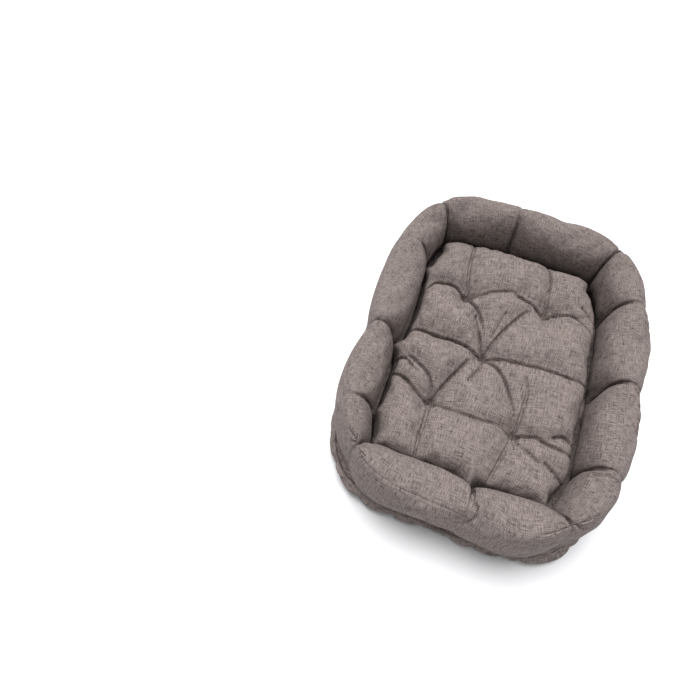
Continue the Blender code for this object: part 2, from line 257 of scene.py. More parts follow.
class Nodes:
    """A short way to write a material's node tree."""

    def __init__(self, name):
        self.material = bpy.data.materials.new(name)
        self.material.use_nodes = True
        self.tree = self.material.node_tree
        self.shader = self.tree.nodes["Principled BSDF"]

    def new(self, kind, **settings):
        node = self.tree.nodes.new("ShaderNode" + kind)
        for key, value in settings.items():
            setattr(node, key, value)
        return node

    def link(self, output, target):
        self.tree.links.new(output, target)

    def value(self, socket, source):
        if isinstance(source, (int, float, tuple)):
            socket.default_value = source
        else:
            self.link(source, socket)

    def math(self, operation, a, b=0.0, clamp=False):
        node = self.new("Math", operation=operation, use_clamp=clamp)
        self.value(node.inputs[0], a)
        self.value(node.inputs[1], b)
        return node.outputs[0]

    def scaled(self, vector, across, along):
        node = self.new("VectorMath", operation="MULTIPLY")
        self.link(vector, node.inputs[0])
        node.inputs[1].default_value = (across, along, 1.0)
        return node.outputs[0]

    def noise(self, vector, scale, detail):
        node = self.new("TexNoise")
        self.link(vector, node.inputs["Vector"])
        node.inputs["Scale"].default_value = scale
        node.inputs["Detail"].default_value = detail
        return node.outputs["Fac"]

    def ramp(self, factor, *stops):
        node = self.new("ValToRGB")
        ramp = node.color_ramp
        while len(ramp.elements) < len(stops):
            ramp.elements.new(0.5)
        for element, (place, colour) in zip(ramp.elements, stops):
            element.position = place
            element.color = (*colour, 1.0)
        self.link(factor, node.inputs["Fac"])
        return node.outputs["Color"]

    def bands(self, vector, direction, scale, **settings):
        node = self.new("TexWave", wave_type="BANDS", bands_direction=direction, **settings)
        self.link(vector, node.inputs["Vector"])
        node.inputs["Scale"].default_value = scale
        return node

    def relief(self, height, strength, distance):
        bump = self.new("Bump")
        bump.inputs["Strength"].default_value = strength
        bump.inputs["Distance"].default_value = distance
        self.link(height, bump.inputs["Height"])
        self.link(bump.outputs["Normal"], self.shader.inputs["Normal"])

    def mix(self, factor, a, b, blend="MIX"):
        node = self.new("Mix", data_type="RGBA", blend_type=blend)
        self.value(node.inputs[0], factor)
        self.value(node.inputs[6], a)
        self.value(node.inputs[7], b)
        return node.outputs[2]


def woven_fabric(name, light, dark, thread=0.0015):
    """Melange linen weave: yarns of uneven colour and thickness both ways, with dark slubs."""
    n = Nodes(name)
    place = n.new("Attribute", attribute_type="GEOMETRY", attribute_name="weave").outputs["Vector"]
    wobble = n.new("VectorMath", operation="MULTIPLY_ADD")
    loose = n.new("TexNoise")
    n.link(place, loose.inputs["Vector"])
    loose.inputs["Scale"].default_value = 35.0
    loose.inputs["Detail"].default_value = 1.0
    n.link(loose.outputs["Color"], wobble.inputs[0])
    wobble.inputs[1].default_value = (0.0016, 0.0016, 0.0)
    n.link(place, wobble.inputs[2])
    cloth = wobble.outputs[0]
    fine, long = 1.0 / thread, 1.0 / (thread * 17.0)
    warp = n.noise(n.scaled(cloth, fine, long), 1.0, 0.0)
    weft = n.noise(n.scaled(cloth, long, fine), 1.0, 0.0)
    warp_slub = n.noise(n.scaled(cloth, fine * 1.1, long * 1.6), 1.0, 0.0)
    weft_slub = n.noise(n.scaled(cloth, long * 1.6, fine * 1.1), 1.0, 0.0)
    yarn = n.math("ADD", n.math("MULTIPLY", warp, 0.5), n.math("MULTIPLY", weft, 0.5))
    middle = tuple(0.5 * d + 0.5 * l for d, l in zip(dark, light))
    across = n.ramp(warp, (0.30, dark), (0.44, middle), (0.66, light))
    along = n.ramp(weft, (0.30, dark), (0.44, middle), (0.66, light))
    tone = n.mix(0.5, across, along)
    slub = n.math("MAXIMUM", warp_slub, weft_slub)
    slubs = n.math("MULTIPLY", n.math("SUBTRACT", slub, 0.66, clamp=True), 10.0, clamp=True)
    tone = n.mix(n.math("MULTIPLY", slubs, 0.7), tone, (*(0.6 * d for d in dark), 1.0))
    coarse = n.noise(cloth, 14.0, 1.0)
    shade = n.ramp(coarse, (0.30, (0.95, 0.95, 0.955)), (0.70, (1.03, 1.025, 1.02)))
    tone = n.mix(1.0, tone, shade, "MULTIPLY")
    n.link(tone, n.shader.inputs["Base Color"])
    per_metre = 0.05 * 2 * math.pi / thread
    threads, cross = (n.bands(cloth, way, per_metre, wave_profile="SIN") for way in "XY")
    relief = n.math("ADD", n.math("MULTIPLY", threads.outputs["Fac"], 0.25), n.math("MULTIPLY", yarn, 1.5))
    relief = n.math("ADD", relief, n.math("MULTIPLY", cross.outputs["Fac"], 0.25))
    n.relief(relief, 0.8, 0.0011)
    rough = n.math("ADD", n.math("MULTIPLY", yarn, 0.12), 0.84)
    n.link(rough, n.shader.inputs["Roughness"])
    n.shader.inputs["Specular IOR Level"].default_value = 0.15
    n.shader.inputs["Sheen Weight"].default_value = 0.03
    n.shader.inputs["Sheen Roughness"].default_value = 0.45
    n.shader.inputs["Sheen Tint"].default_value = (0.85, 0.80, 0.78, 1.0)
    return n.material


def twisted_thread(name, colour):
    """Sewing thread: a fine diagonal twist along the strand."""
    n = Nodes(name)
    place = n.new("TexCoord").outputs["Object"]
    twist = n.bands(place, "DIAGONAL", 450.0)
    twist.inputs["Distortion"].default_value = 1.0
    n.link(
        n.ramp(twist.outputs["Fac"], (0.0, tuple(0.55 * c for c in colour)), (1.0, colour)),
        n.shader.inputs["Base Color"],
    )
    n.relief(twist.outputs["Fac"], 0.5, 0.0003)
    n.shader.inputs["Roughness"].default_value = 0.6
    return n.material


FABRIC = woven_fabric("melange_weave", (0.298, 0.249, 0.231), (0.064, 0.050, 0.048))
UNDERSIDE = woven_fabric("underside_weave", (0.060, 0.056, 0.055), (0.022, 0.020, 0.020), 0.0016)
THREAD = twisted_thread("sewing_thread_twist", (0.150, 0.125, 0.118))


# -------------------------------------------------------------------------------------------- walls

# How the cloth is drawn in at each seam of the walls: (side, place along it, then for the inner face, the
# crest and the outer face how deep it is drawn and how far from the seam the chamber is full again, and how
# far the seam bows along the wall at the crest).
SEAMS = (
    ("corner", "front_left", (0.023, 0.050), (0.026, 0.070), (0.004, 0.040), 0.0),
    ("front", 0.027, (0.020, 0.045), (0.009, 0.022), (0.0, 0.030), 0.004),
    ("corner", "front_right", (0.023, 0.055), (0.028, 0.075), (0.004, 0.040), 0.0),
    ("right", -0.242, (0.012, 0.032), (0.007, 0.020), (0.005, 0.030), 0.008),
    ("right", -0.020, (0.027, 0.052), (0.010, 0.026), (0.006, 0.040), 0.010),
    ("right", 0.222, (0.018, 0.045), (0.006, 0.020), (0.006, 0.045), 0.0),
    ("corner", "back_right", (0.021, 0.045), (0.012, 0.040), (0.003, 0.040), 0.0),
    ("back", -0.027, (0.012, 0.040), (0.006, 0.022), (0.004, 0.040), 0.004),
    ("corner", "back_left", (0.021, 0.045), (0.012, 0.040), (0.004, 0.040), 0.0),
    ("left", 0.233, (0.010, 0.050), (0.003, 0.020), (0.0, 0.030), 0.004),
    ("left", -0.060, (0.024, 0.050), (0.012, 0.028), (0.020, 0.090), -0.010),
    ("left", -0.258, (0.010, 0.030), (0.007, 0.020), (0.0, 0.030), 0.006),
)
# Where the stuffed walls lean from the line they stand on: (side, place along it, shift of the inner face, of
# the outer face and of the outer foot, outwards).
LEANS = (
    ("front", -0.232, -0.004, -0.030, -0.030), ("front", -0.20, -0.012, -0.012, -0.012),
    ("front", -0.12, -0.014, -0.002, -0.008), ("front", -0.05, -0.016, -0.006, -0.022),
    ("front", 0.01, -0.016, -0.006, -0.020), ("front", 0.07, -0.016, 0.0, -0.012),
    ("front", 0.14, -0.014, 0.006, 0.0), ("front", 0.20, -0.012, -0.010, -0.006),
    ("front", 0.232, -0.004, -0.034, -0.030),
    ("right", -0.36, 0.0, -0.016, -0.010), ("right", -0.32, 0.0, -0.012, 0.0),
    ("right", -0.20, 0.0, 0.0, 0.0),
    ("right", 0.0, 0.006, 0.008, 0.0), ("right", 0.15, 0.006, 0.010, 0.0), ("right", 0.32, 0.0, -0.006, 0.0),
    ("back", 0.18, 0.004, 0.0, 0.0), ("back", 0.0, 0.010, 0.016, 0.0), ("back", -0.18, 0.008, 0.008, 0.0),
    ("left", 0.33, -0.006, -0.010, 0.0), ("left", 0.20, -0.016, -0.020, 0.0),
    ("left", 0.08, -0.022, -0.030, -0.006), ("left", -0.06, -0.018, -0.026, -0.006),
    ("left", -0.20, -0.018, -0.018, 0.0), ("left", -0.32, -0.010, -0.026, -0.020),
    ("left", -0.37, -0.006, -0.040, -0.040),
)
# Small folds of the walls: side, guide points (place along the side, share of the way across the cloth from
# its crest, outwards), and how deep.
WALL_CREASES = (
    ("right", ((-0.262, -0.30), (-0.256, 0.0), (-0.268, 0.34)), 0.55),
    ("right", ((-0.030, 0.10), (-0.046, 0.42)), 0.55),
    ("right", ((-0.060, 0.22), (-0.066, 0.50)), 0.50),
    ("right", ((-0.088, 0.26), (-0.092, 0.52)), 0.40),
    ("right", ((-0.120, 0.24), (-0.122, 0.50)), 0.32),
    ("right", ((0.196, 0.16), (0.190, 0.42)), 0.45),
    ("right", ((0.168, 0.22), (0.166, 0.46)), 0.35),
    ("right", ((0.236, -0.10), (0.240, 0.30)), 0.30),
    ("right", ((-0.300, -0.05), (-0.285, 0.30)), 0.25),
    ("right", ((-0.335, -0.02), (-0.345, 0.30)), 0.30),
    ("back", ((0.016, 0.18), (0.008, -0.08)), 0.40),
    ("front", ((0.012, -0.10), (0.014, 0.10)), 0.45),
    ("front", ((0.034, 0.0), (0.044, 0.12), (0.042, 0.24), (0.030, 0.38)), 0.80),
    ("front", ((0.064, 0.06), (0.066, 0.30)), 0.30),
    ("front", ((-0.215, 0.16), (-0.10, 0.18), (0.0, 0.24), (0.03, 0.30)), 0.18),
    ("front", ((-0.205, -0.05), (-0.185, 0.20)), 0.22),
    ("front", ((0.212, 0.0), (0.196, 0.22)), 0.30),
    ("front", ((-0.120, 0.30), (-0.118, 0.62)), 0.15),
    ("front", ((0.120, 0.30), (0.118, 0.62)), 0.15),
    ("left", ((-0.100, 0.05), (-0.085, 0.34)), 0.30),
)
# Small folds fanning out from the gathered top of each corner: turn in degrees, length, how deep.
GATHER_FOLDS = (
    (8, 0.050, 0.7), (34, 0.036, 0.5), (62, 0.044, 0.5), (118, 0.040, 0.5), (150, 0.046, 0.6),
    (174, 0.055, 0.6), (200, 0.034, 0.5), (232, 0.040, 0.4), (-24, 0.042, 0.6), (-55, 0.036, 0.4),
)
GATHER_ACROSS = 0.030  # from the crest to a corner's gather, down the outside
CREASE_DEPTH = 0.0105
CREASE_WIDTH = 0.0028
SEAM_WIDTH = 0.0034
SECTION_LENGTH = 0.42  # of a wall's cloth, from its inner foot over the crest to its outer foot
RING_FINENESS = 3
FLANGE = 0.0045  # how far the seam at a wall's outer foot stands out


def height_share(up):
    """Height within the walls, from 0 at the foot to 1 at the crest."""
    return np.clip((up - WALL_FOOT_Z) / (WALL_CREST_Z - WALL_FOOT_Z), 0, 1)


class Ring:
    """The cloth of all four walls: one band round the bed, from inner foot over the crest to outer foot."""

    def __init__(self):
        angle = np.linspace(-math.pi, math.pi, 20001)
        self.line_x, self.line_y = superellipse(angle, WALL_A, WALL_B, WALL_POWER)
        steps = np.hypot(np.diff(self.line_x), np.diff(self.line_y))
        self.line_s = np.concatenate([[0.0], np.cumsum(steps)])
        self.length = self.line_s[-1]
        self.places = [self.place_of(seam) for seam in SEAMS]
        self.lay_columns()
        self.shape_section()

    def place_of(self, seam):
        """A seam's distance along the wall line."""
        side, at = seam[0], seam[1]
        corner_y = WALL_B * (1 - (CORNER_X / WALL_A) ** WALL_POWER) ** (1 / WALL_POWER)
        if side == "corner":
            end, flank = at.split("_")
            x = CORNER_X if flank == "right" else -CORNER_X
            y = corner_y if end == "back" else -corner_y
        elif side in ("left", "right"):
            y = at
            x = WALL_A * (1 - (abs(y) / WALL_B) ** WALL_POWER) ** (1 / WALL_POWER)
            x = x if side == "right" else -x
        else:
            x = at
            y = WALL_B * (1 - (abs(x) / WALL_A) ** WALL_POWER) ** (1 / WALL_POWER)
            y = y if side == "back" else -y
        return self.line_s[np.argmin((self.line_x - x) ** 2 + (self.line_y - y) ** 2)]

    def lay_columns(self):
        """Columns of the cloth: one on every seam, and closer together near the seams."""
        columns, self.seam_column = [], []
        for k, start in enumerate(self.places):
            end = self.places[(k + 1) % len(self.places)]
            if end < start:
                end += self.length
            count = int(round((end - start) / RING_CELL))
            u = 2 * np.arange(count) / count - 1
            u = 0.65 * u + 0.35 * np.sin(math.pi / 2 * u)
            self.seam_column.append(len(columns))
            columns += list((start + end) / 2 + (end - start) / 2 * u)
        self.s = np.array(columns)
        self.count = len(self.s)

    def at(self, s):
        """Points and outward normals of the wall line at these distances along it."""
        s = np.mod(s, self.length)
        x, y = np.interp(s, self.line_s, self.line_x), np.interp(s, self.line_s, self.line_y)
        n = WALL_POWER - 1
        nx = np.sign(x) * (np.abs(x) / WALL_A) ** n / WALL_A
        ny = np.sign(y) * (np.abs(y) / WALL_B) ** n / WALL_B
        size = np.hypot(nx, ny)
        return x, y, nx / size, ny / size

    def from_seam(self, k):
        """Signed distance of every column from seam k, the short way round."""
        return np.mod(self.s - self.places[k] + self.length / 2, self.length) - self.length / 2

    def leans(self):
        """How far each column's inner and outer faces lean outwards."""
        places = np.array([self.place_of(lean) for lean in LEANS])
        order = np.argsort(places)
        fine = np.linspace(0, self.length, 1024, endpoint=False)
        spread = np.minimum(fine, self.length - fine)
        blur = np.exp(-((spread / 0.035) ** 2))
        blur /= blur.sum()
        results = []
        for item in (2, 3, 4):
            values = np.array([lean[item] for lean in LEANS])[order]
            profile = np.interp(fine, places[order], values, period=self.length)
            smooth = np.fft.irfft(np.fft.rfft(profile) * np.fft.rfft(blur), len(fine))
            results.append(np.interp(np.mod(self.s, self.length), fine, smooth, period=self.length))
        return results

    def flatness(self):
        """How far each column's outer face is a flat slope rather than an oval: most at the front."""
        _, _, _, ny = self.at(self.s)
        return 0.25 + 0.45 * np.clip(-ny, 0, 1) ** 2

    def shape_section(self):
        """The cloth's shape before it settles, and where it is held."""
        share = np.linspace(-1, 1, SECTION_CELLS + 1)[None, :]
        turn = math.pi / 2 + share * (math.pi / 2 + FOOT_ANGLE)
        c, s = np.cos(turn), np.sin(turn)
        half_height = (WALL_CREST_Z - WALL_FOOT_Z) / (1 + math.sin(FOOT_ANGLE))
        centre_z = WALL_CREST_Z - half_height
        inner, outer = np.clip(c, 0, 1), np.clip(-c, 0, 1)
        up = centre_z + half_height * s + np.zeros((self.count, 1))
        height = np.clip((up - WALL_FOOT_Z) / 0.07, 0, 1)
        lean_in, lean_out, lean_foot = (lean[:, None] for lean in self.leans())
        side_share = 0.5 - 0.5 * np.clip(c / 0.7, -1, 1)
        rise = height**2 * (3 - 2 * height)
        lean = lean_in * (1 - side_share) * rise + side_share * (lean_foot + (lean_out - lean_foot) * rise)
        slope = np.where(c < 0, WALL_THICKNESS * (0.46 + 0.54 * (1 - height_share(up))), 0.0)
        oval = -WALL_THICKNESS * c
        flatness = self.flatness()[:, None] * np.clip(-c / 0.5, 0, 1)
        out = oval + (slope - oval) * flatness + lean
        shift = np.zeros_like(out)
        hold = np.zeros_like(out)
        clear_of_foot = np.clip((up - WALL_FOOT_Z) / 0.03, 0, 1)
        for k, seam in enumerate(SEAMS):
            _, _, inner_draw, crest_draw, outer_draw, bow = seam
            distance = self.from_seam(k)[:, None]
            over = np.clip(s, 0, 1) ** 2 * np.where(outer > 0, np.clip(1 - outer / 0.9, 0, 1), 1)
            depth = inner_draw[0] * inner**2 + crest_draw[0] * over + outer_draw[0] * outer**2
            reach = inner_draw[1] * inner**2 + crest_draw[1] * s**2 + outer_draw[1] * outer**2
            near = np.clip(1 - np.abs(distance) / reach, 0, 1)
            drawn = 1 - (1 - near**1.8) ** (1 / 1.8)
            amount = depth * drawn * clear_of_foot
            out += amount * c
            up -= amount * np.clip(s, 0, 1)
            shift += bow * np.cos(share * math.pi / 2) * np.exp(-((distance / 0.05) ** 2))
            on_seam = np.abs(distance) < 1e-6
            grip = np.clip(depth / 0.008, 0, 0.95)
            hold = np.maximum(hold, np.where(on_seam, grip, 0))
        x, y, nx, ny = self.at(self.s[:, None] + shift)
        points = np.stack([x + nx * out, y + ny * out, up], -1)
        hold[:, :2] = 1
        hold[:, -2:] = 1
        self.across = share * SECTION_LENGTH / 2
        self.points, self.hold = points, hold

    def settle(self):
        index = np.arange(self.points[..., 0].size).reshape(self.points.shape[:2])
        around = np.vstack([index, index[:1]])
        faces = grid_faces(around)
        points = settle(
            self.points.reshape(-1, 3), faces, self.hold.ravel(), pressure=14.0, slack=0.025, bending=2.5
        )
        points = points.reshape(self.points.shape)
        passes = 3
        wrapped = np.concatenate([points[-passes:], points, points[:passes]])
        smooth = evened(wrapped, passes)[passes:-passes]
        grip = self.hold[..., None]
        self.points = grip * points + (1 - grip) * smooth

    def crease_lines(self):
        """Every small crease: its guide points on the flat cloth, how deep it is, and if it fades along."""
        lines = []
        for side, line, depth in WALL_CREASES:
            places = [(self.place_of((side, along)), place * SECTION_LENGTH / 2) for along, place in line]
            lines.append((places, depth))
        for k, seam in enumerate(SEAMS):
            if seam[0] == "corner":
                for number, (turn, length, depth) in enumerate(GATHER_FOLDS):
                    a = math.radians(turn + 9 * math.sin(2.7 * k + 1.9 * number))
                    reach = length * (1 + 0.2 * math.sin(1.3 * k + 2.3 * number))
                    fold = [
                        (self.places[k] + r * math.cos(a), GATHER_ACROSS + r * math.sin(a))
                        for r in (0.004, reach)
                    ]
                    lines.append((fold, depth))
        return lines

    def refine(self):
        """A finer grid through the settled cloth, with the seams and small creases pressed sharply in."""
        k = RING_FINENESS
        around = np.append(self.s, self.s[0] + self.length)
        i, j = np.meshgrid(np.arange(self.count * k) / k, np.arange(SECTION_CELLS * k + 1) / k, indexing="ij")
        s = np.interp(i, np.arange(self.count + 1), around)
        across = (j / SECTION_CELLS - 0.5) * SECTION_LENGTH
        share = across / (SECTION_LENGTH / 2)
        press = np.zeros(s.shape)
        for line, depth in self.crease_lines():
            origin = line[0][0]
            half = self.length / 2
            places = [(np.mod(a - origin + half, self.length) - half, b) for a, b in line]
            local = np.mod(s - origin + half, self.length) - half
            away, along = nearest_on_line(local, across, curved(places, 6))
            added = crease_profile(away, CREASE_DEPTH * depth * fading(along), CREASE_WIDTH)
            press = np.where(np.abs(added) > np.abs(press), added, press)
        turn = math.pi / 2 + share * (math.pi / 2 + FOOT_ANGLE)
        inner, outer = np.clip(np.cos(turn), 0, 1), np.clip(-np.cos(turn), 0, 1)
        crest = np.clip(np.sin(turn), 0, 1)
        for number, seam in enumerate(SEAMS):
            _, _, inner_draw, crest_draw, outer_draw, _ = seam
            away = np.abs(np.mod(s - self.places[number] + self.length / 2, self.length) - self.length / 2)
            over = crest * np.where(outer > 0, np.clip(1 - outer / 0.6, 0, 1), 1)
            depth = 0.40 * inner_draw[0] * inner + 0.45 * crest_draw[0] * over + 0.5 * outer_draw[0] * outer
            most = 0.004 if seam[0] == "corner" else 0.010
            added = crease_profile(away, np.minimum(depth, most), SEAM_WIDTH)
            press = np.where(np.abs(added) > np.abs(press), added, press)
            if seam[0] == "corner":
                press -= 0.0035 * np.clip((outer - 0.5) / 0.3, 0, 1) * np.exp(-((away / 0.0040) ** 2))
        wrapped = np.concatenate([self.points[-3:], self.points, self.points[:4]])
        points = through_grid(wrapped, i + 3, j)
        press *= np.clip((1 - np.abs(share)) / 0.08, 0, 1)
        press -= 0.0008 * unevenness(s, across, 0.075, 3) * np.clip((1 - np.abs(share)) / 0.2, 0, 1)
        from_foot = (1 - share) * SECTION_LENGTH / 2
        press -= FLANGE * np.exp(-(((from_foot - 0.006) / 0.0028) ** 2))
        normal = grid_normals(points, wrapped=True)
        if normal[:, normal.shape[1] // 2, 2].mean() < 0:
            normal = -normal
        self.points = points - normal * press[..., None]
        self.flat = np.stack([s, across], -1)
        self.count *= k
        self.seam_column = [column * k for column in self.seam_column]

    def corner_columns(self):
        return [self.seam_column[k] for k, seam in enumerate(SEAMS) if seam[0] == "corner"]

    def wall_columns(self, number):
        """The columns of wall number 0 to 3: front, right, back, left. Both end columns are included."""
        corners = self.corner_columns()
        start = corners[number]
        end = corners[number + 1] if number < 3 else self.count
        return np.arange(start, end + 1) % self.count

    def inner_limit(self):
        """The plan of the space inside the walls at the cushion's height: its nearest place, by direction."""
        inner = self.points[:, : self.points.shape[1] // 2]
        radius = np.hypot(inner[..., 0], inner[..., 1]) + np.where(inner[..., 2] > CUSHION_TOP_Z, 1.0, 0.0)
        nearest = radius.argmin(axis=1)
        rows = np.arange(self.count)
        x, y = inner[rows, nearest, 0], inner[rows, nearest, 1]
        angle = np.arctan2(y, x)
        order = np.argsort(angle)
        return angle[order], np.hypot(x, y)[order]


def close_wall(ring, number):
    """One wall as a closed body: its band of the ring, a sole under it and a flat cap at each corner."""
    columns = ring.wall_columns(number)
    band = ring.points[columns]
    weave = ring.flat[columns].copy()
    weave[weave[:, 0, 0] < weave[0, 0, 0] - 1e-6, :, 0] += ring.length
    count, rows = band.shape[:2]
    index = np.arange(count * rows).reshape(count, rows)
    faces = [tuple(face) for face in grid_faces(index)]
    for i in range(count - 1):
        faces.append((index[i, 0], index[i + 1, 0], index[i + 1, -1], index[i, -1]))
    faces.append(tuple(index[0][::-1]))
    faces.append(tuple(index[-1]))
    points = band.reshape(-1, 3).copy()
    points[index[:, [0, -1]], 2] = FLOOR_Z + 0.0002
    gap = 0.0006
    for end, neighbour in ((0, 1), (-1, -2)):
        along = band[neighbour].mean(axis=0) - band[end].mean(axis=0)
        along /= np.linalg.norm(along)
        points[index[end]] += along * gap
    return points, faces, weave.reshape(-1, 2)


WALL_NAMES = ("front", "right", "back", "left")
FILLINGS = {"front": 2, "back": 2, "left": 4, "right": 4}
CHANNELS = {"front": (0,), "right": (0, 1, 2), "back": (0,), "left": (2, 1, 0)}


def make_walls():
    ring = Ring()
    ring.settle()
    ring.refine()
    for number, side in enumerate(WALL_NAMES):
        points, faces, weave = close_wall(ring, number)
        wall = new_mesh_object(f"{side}_wall_bolster", points, faces, FABRIC, weave)
        fillings = [f"{side}_wall_filling_{i + 1}" for i in range(FILLINGS[side])]
        attach(wall, "bed", "cover_fabric", f"{side}_wall_cover", *fillings)
    make_wall_stitches(ring)
    return ring


def make_wall_stitches(ring):
    """The sewing thread along the bottom of each channel, and the tack that gathers each corner."""
    rows = ring.points.shape[1]
    normal = grid_normals(ring.points, wrapped=True)
    if normal[:, rows // 2, 2].mean() < 0:
        normal = -normal
    for side in WALL_NAMES:
        seams = [k for k, seam in enumerate(SEAMS) if seam[0] == side]
        for k, number in zip(seams, CHANNELS[side]):
            column = ring.seam_column[k]
            places = range(int(0.06 * rows), int(0.80 * rows), 3)
            path = [ring.points[column, row] - 0.0002 * normal[column, row] for row in places]
            thread = new_thread(f"{side}_channel_stitch_{number + 1}", path, 0.0006)
            attach(thread, "bed", "sewing_thread", f"{side}_channel_thread_{number + 1}")
    for k, seam in enumerate(SEAMS):
        if seam[0] == "corner":
            column = ring.seam_column[k]
            middle = int(rows * (0.5 + GATHER_ACROSS / SECTION_LENGTH))
            path = []
            for turn in range(7):
                side_step = -1 if turn % 2 else 1
                row, near = middle - 6 + 2 * turn, (column + side_step) % ring.count
                path.append(ring.points[near, row] + 0.0008 * normal[near, row])
            tack = new_thread(f"corner_tack_stitch_{seam[1]}", path, 0.0006)
            attach(tack, "bed", "sewing_thread", f"corner_tack_{seam[1]}")


# ------------------------------------------------------------------------------------------ cushion

TUFTS = {
    "back_left": (-0.100, 0.169), "back_right": (0.117, 0.187), "centre": (-0.013, -0.001),
    "front_left": (-0.109, -0.171), "front_right": (0.106, -0.184),
}
TUFT_THREADS = {
    "centre": "tuft_thread_1", "front_left": "tuft_thread_2", "front_right": "tuft_thread_3",
    "back_left": "tuft_thread_4", "back_right": "tuft_thread_5",
}
BL, BR, C, FL, FR = (TUFTS[k] for k in ("back_left", "back_right", "centre", "front_left", "front_right"))
# Creases of the cushion's top: guide points in plan, and how deep, from 0 to 1.
CREASES = (
    ((BL, (-0.126, 0.180), (-0.150, 0.186), (-0.198, 0.175), (-0.232, 0.140)), 0.85),
    ((BL, (-0.110, 0.211), (-0.119, 0.269), (-0.123, 0.345)), 0.6),
    ((BL, (-0.067, 0.180), (0.0, 0.208), (0.035, 0.206)), 0.4),
    (((0.035, 0.206), (0.075, 0.197), BR), 0.65),
    ((BL, (-0.071, 0.140), (-0.050, 0.107), (-0.037, 0.072)), 0.8),
    (((-0.061, 0.110), (-0.045, 0.066), (-0.027, 0.022), C), 0.8),
    ((C, (-0.041, 0.004), (-0.081, 0.013), (-0.140, 0.012), (-0.200, 0.012), (-0.243, -0.004)), 0.9),
    ((FL, (-0.119, -0.132), (-0.142, -0.102), (-0.184, -0.080), (-0.200, -0.078)), 0.6),
    (((-0.243, -0.095), (-0.206, -0.085), (-0.184, -0.098), (-0.156, -0.114)), 0.5),
    ((FL, (-0.147, -0.162), (-0.174, -0.147), (-0.200, -0.139), (-0.243, -0.139)), 0.7),
    ((FL, (-0.087, -0.114), (-0.066, -0.067), (-0.047, -0.030)), 0.8),
    ((C, (-0.014, -0.033), (-0.022, -0.060), (-0.036, -0.095)), 0.6),
    ((FL, (-0.108, -0.244), (-0.110, -0.274), (-0.108, -0.345)), 0.6),
    ((FL, (-0.058, -0.183), (0.023, -0.185), (0.061, -0.180), FR), 0.35),
    ((C, (0.015, -0.017), (0.042, -0.043), (0.062, -0.075), (0.087, -0.127), FR), 0.7),
    ((FR, (0.108, -0.148), (0.110, -0.112), (0.111, -0.073), (0.099, -0.038)), 0.6),
    ((C, (0.036, 0.0), (0.075, 0.001), (0.141, 0.006), (0.189, 0.003), (0.243, 0.003)), 0.5),
    ((C, (0.003, 0.053), (0.028, 0.107), (0.051, 0.147), (0.074, 0.173)), 0.6),
    ((BR, (0.109, 0.241), (0.106, 0.294), (0.092, 0.345)), 0.6),
    ((BR, (0.152, 0.194), (0.183, 0.192), (0.209, 0.178), (0.243, 0.155)), 0.5),
    (((0.200, 0.225), (0.243, 0.195)), 0.3),
    ((FR, (0.148, -0.176), (0.172, -0.182), (0.195, -0.187), (0.243, -0.192)), 0.6),
    (((0.191, -0.164), (0.215, -0.155), (0.243, -0.165)), 0.5),
    ((FR, (0.149, -0.225), (0.180, -0.243)), 0.45),
    (((0.185, -0.235), (0.243, -0.268)), 0.5),
    ((FR, (0.088, -0.250), (0.077, -0.302), (0.070, -0.345)), 0.5),
    ((FR, (0.107, -0.235), (0.110, -0.286), (0.104, -0.345)), 0.15),
    (((0.012, 0.137), (-0.008, 0.050)), 0.35),
)


def cushion_plan(u, v):
    x = CUSHION_HALF_WIDTH * u * (1 - CUSHION_CORNER_DRAW * v**4)
    y = CUSHION_HALF_LENGTH * v * (1 - CUSHION_CORNER_DRAW * u**4)
    return x, y


def fit_inside(x, y, limit, rim, clearance):
    """Draws points of the cushion in where its rim would press into the walls."""
    angle, radius = np.arctan2(y, x), np.hypot(x, y)
    room = np.interp(angle, *limit, period=2 * math.pi) - clearance
    edge = np.interp(angle, *rim, period=2 * math.pi)
    squeeze = np.minimum(1.0, room / edge)
    share = np.clip(radius / edge, 0, 1.1)
    factor = 1 - (1 - squeeze) * share**5
    return x * factor, y * factor


def underside_faces(index, rim, rows, columns):
    """Faces of the cushion's coarser underside, meeting every point of the finer top's rim."""
    def corner(r, c):
        on_rim = r in (0, rows) or c in (0, columns)
        return rim[2 * r, 2 * c] if on_rim else index[r, c]

    faces = []
    for r in range(rows):
        for c in range(columns):
            face = [corner(r, c)]
            if r == 0:
                face.append(rim[0, 2 * c + 1])
            face.append(corner(r, c + 1))
            if c == columns - 1:
                face.append(rim[2 * r + 1, 2 * columns])
            face.append(corner(r + 1, c + 1))
            if r == rows - 1:
                face.append(rim[2 * rows, 2 * c + 1])
            face.append(corner(r + 1, c))
            if c == 0:
                face.append(rim[2 * r + 1, 0])
            faces.append(tuple(face[::-1]))
    return faces


def from_tufts(x, y):
    return np.min([np.hypot(x - tx, y - ty) for tx, ty in TUFTS.values()], axis=0)


